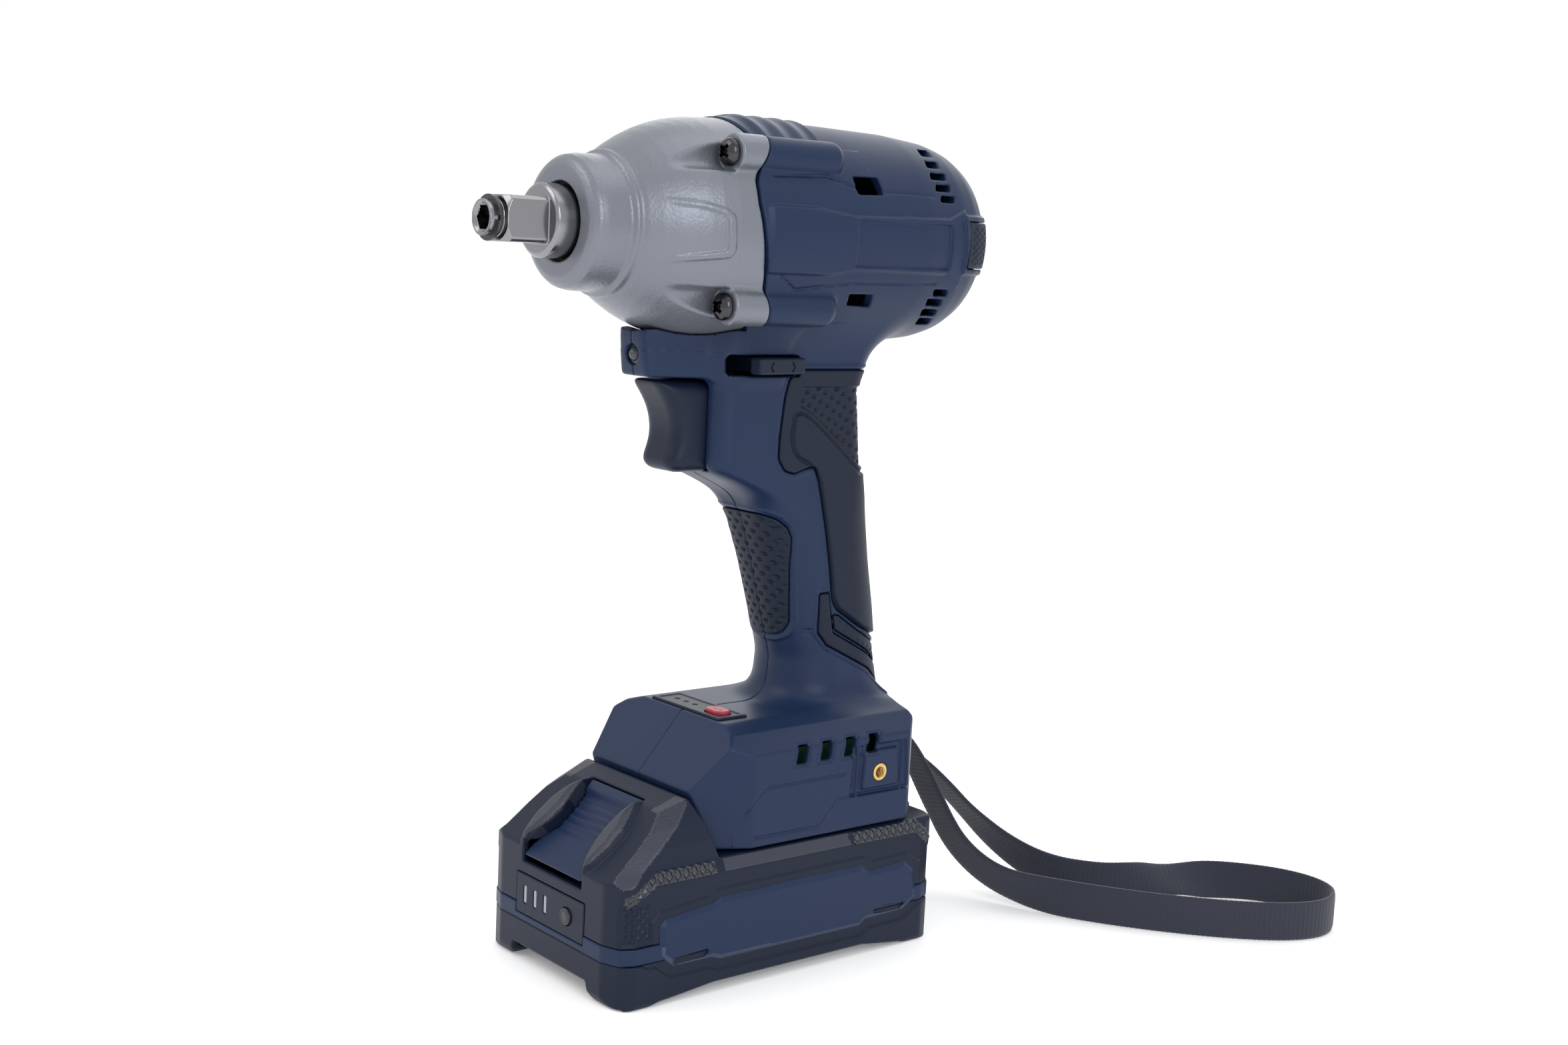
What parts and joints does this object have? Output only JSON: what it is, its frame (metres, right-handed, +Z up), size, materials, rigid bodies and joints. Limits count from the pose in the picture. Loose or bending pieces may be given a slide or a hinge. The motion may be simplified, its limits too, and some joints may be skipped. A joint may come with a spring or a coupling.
{
  "type": "cordless impact wrench",
  "caption": "Pistol-grip battery impact wrench with a square-drive anvil, hammer mechanism, planetary gear, brushless motor, slide-on battery and wrist strap.",
  "frame": {"origin": "middle of the base of the wrench standing on its battery, on the plane where the housing halves meet", "axes": "-Y along the anvil, +X to the user's left, +Z up"},
  "size_m": [0.1447, 0.283, 0.254],
  "materials": {
    "navy_plastic": "fine spark-eroded texture",
    "black_plastic": "fine spark-eroded texture",
    "silver_paint": "fine metallic texture",
    "steel": "ground and turned",
    "dark_steel": "black oxide",
    "screw_steel": "nickel",
    "brass": "turned",
    "bronze": "sintered",
    "copper_wire": "enamelled wire",
    "rubber": "textured overmould",
    "soft_ring": "smooth",
    "red_plastic": "satin",
    "clear_lens": "clear",
    "light_pipe": "milky",
    "white_plastic": "satin",
    "board": "solder mask",
    "cell_wrap": "shrink wrap",
    "magnet": "nickel plated",
    "webbing": "ribbed webbing"
  },
  "bodies": {
    "tool": {"housing_left": "navy_plastic", "housing_right": "navy_plastic", "housing_screws": "dark_steel", "rear_bumper": "rubber", "rear_grips": "rubber", "front_grips": "rubber", "hammer_case": "silver_paint", "nose_bushing": "bronze", "case_screws": "screw_steel", "ring_gear": "steel", "stator_core": "dark_steel", "stator_coils": "copper_wire", "hall_board": "board", "gear_housing": "black_plastic", "bearing_outer_rings": "steel", "trigger_switch": "black_plastic", "lamp_lens": "clear_lens", "control_panel": "black_plastic", "small_boards": "board", "controller_board": "board", "terminal_block": "black_plastic", "terminal_blades": "brass", "hook_inserts": "brass", "wrist_strap": "webbing", "strap_bar": "steel", "trigger_spring": "steel"},
    "anvil": {"anvil": "steel", "friction_ring": "dark_steel", "o_ring": "soft_ring"},
    "spindle": {"spindle": "steel", "planet_pins": "steel", "cam_balls": "steel", "spindle_bearing_inner": "steel", "hammer_spring": "steel"},
    "hammer": {"hammer": "dark_steel"},
    "planet_1": {"planet_gear_1": "steel"},
    "planet_2": {"planet_gear_2": "steel"},
    "planet_3": {"planet_gear_3": "steel"},
    "rotor": {"motor_shaft": "steel", "rotor_core": "dark_steel", "rotor_magnets": "magnet", "motor_fan": "black_plastic", "motor_bearings_inner": "steel"},
    "trigger": {"trigger": "black_plastic"},
    "direction_lever": {"direction_lever": "black_plastic"},
    "panel_button": {"panel_button": "red_plastic"},
    "battery": {"battery_bottom_case": "black_plastic", "battery_band": "navy_plastic", "battery_top_case": "black_plastic", "battery_clips": "brass", "gauge_panel": "black_plastic", "gauge_lights": "light_pipe", "battery_side_panels": "navy_plastic", "battery_screws": "screw_steel", "battery_cells": "cell_wrap", "battery_cell_frames": "black_plastic", "battery_board": "board", "release_spring": "steel"},
    "battery_release": {"battery_release": "navy_plastic"},
    "gauge_button": {"gauge_button": "white_plastic"}
  },
  "joints": [
    {"name": "spindle_spin", "type": "hinge", "parent": "tool", "child": "spindle", "pos_m": [0, 0, 0.221], "axis": [0, 1, 0], "continuous": true},
    {"name": "rotor_spin", "type": "hinge", "parent": "tool", "child": "rotor", "pos_m": [0, 0, 0.221], "axis": [0, 1, 0], "continuous": true},
    {"name": "anvil_spin", "type": "hinge", "parent": "tool", "child": "anvil", "pos_m": [0, 0, 0.221], "axis": [0, 1, 0], "continuous": true},
    {"name": "planet_spin_1", "type": "hinge", "parent": "spindle", "child": "planet_1", "pos_m": [0, 0, 0.2345], "axis": [0, 1, 0], "continuous": true},
    {"name": "planet_spin_2", "type": "hinge", "parent": "spindle", "child": "planet_2", "pos_m": [-0.01169, 0, 0.21425], "axis": [0, 1, 0], "continuous": true},
    {"name": "planet_spin_3", "type": "hinge", "parent": "spindle", "child": "planet_3", "pos_m": [0.01169, 0, 0.21425], "axis": [0, 1, 0], "continuous": true},
    {"name": "hammer_slide", "type": "slide", "parent": "spindle", "child": "hammer", "axis": [0, 1, 0], "range_m": [0, 0.007], "stiffness_N_per_m": 9000, "springref_m": -0.012, "deforming": ["hammer_spring"]},
    {"name": "trigger_pull", "type": "slide", "parent": "tool", "child": "trigger", "axis": [0, 1, 0], "range_m": [0, 0.0062], "stiffness_N_per_m": 900, "springref_m": -0.006, "deforming": ["trigger_spring"]},
    {"name": "direction_swing", "type": "hinge", "parent": "tool", "child": "direction_lever", "pos_m": [0, -0.0005, 0.182], "axis": [0, 0, 1], "range_deg": [-17.2, 0]},
    {"name": "panel_press", "type": "slide", "parent": "tool", "child": "panel_button", "axis": [0, 0, -1], "range_m": [0, 0.0006], "stiffness_N_per_m": 1500, "springref_m": -0.0008},
    {"name": "battery_slide", "type": "slide", "parent": "tool", "child": "battery", "axis": [0, -1, 0], "range_m": [0, 0.085]},
    {"name": "release_press", "type": "slide", "parent": "battery", "child": "battery_release", "axis": [0, -0.7652, -0.6438], "range_m": [0, 0.003], "stiffness_N_per_m": 1500, "springref_m": -0.002, "deforming": ["release_spring"]},
    {"name": "gauge_press", "type": "slide", "parent": "battery", "child": "gauge_button", "axis": [0, 1, 0], "range_m": [0, 0.0008], "stiffness_N_per_m": 1500, "springref_m": -0.0008}
  ],
  "couplings": [
    {"joint": "rotor_spin", "follows": "spindle_spin", "ratio": 5},
    {"joint": "anvil_spin", "follows": "spindle_spin", "ratio": 1},
    {"joint": "planet_spin_1", "follows": "spindle_spin", "ratio": -2.6667},
    {"joint": "planet_spin_2", "follows": "spindle_spin", "ratio": -2.6667},
    {"joint": "planet_spin_3", "follows": "spindle_spin", "ratio": -2.6667}
  ]
}
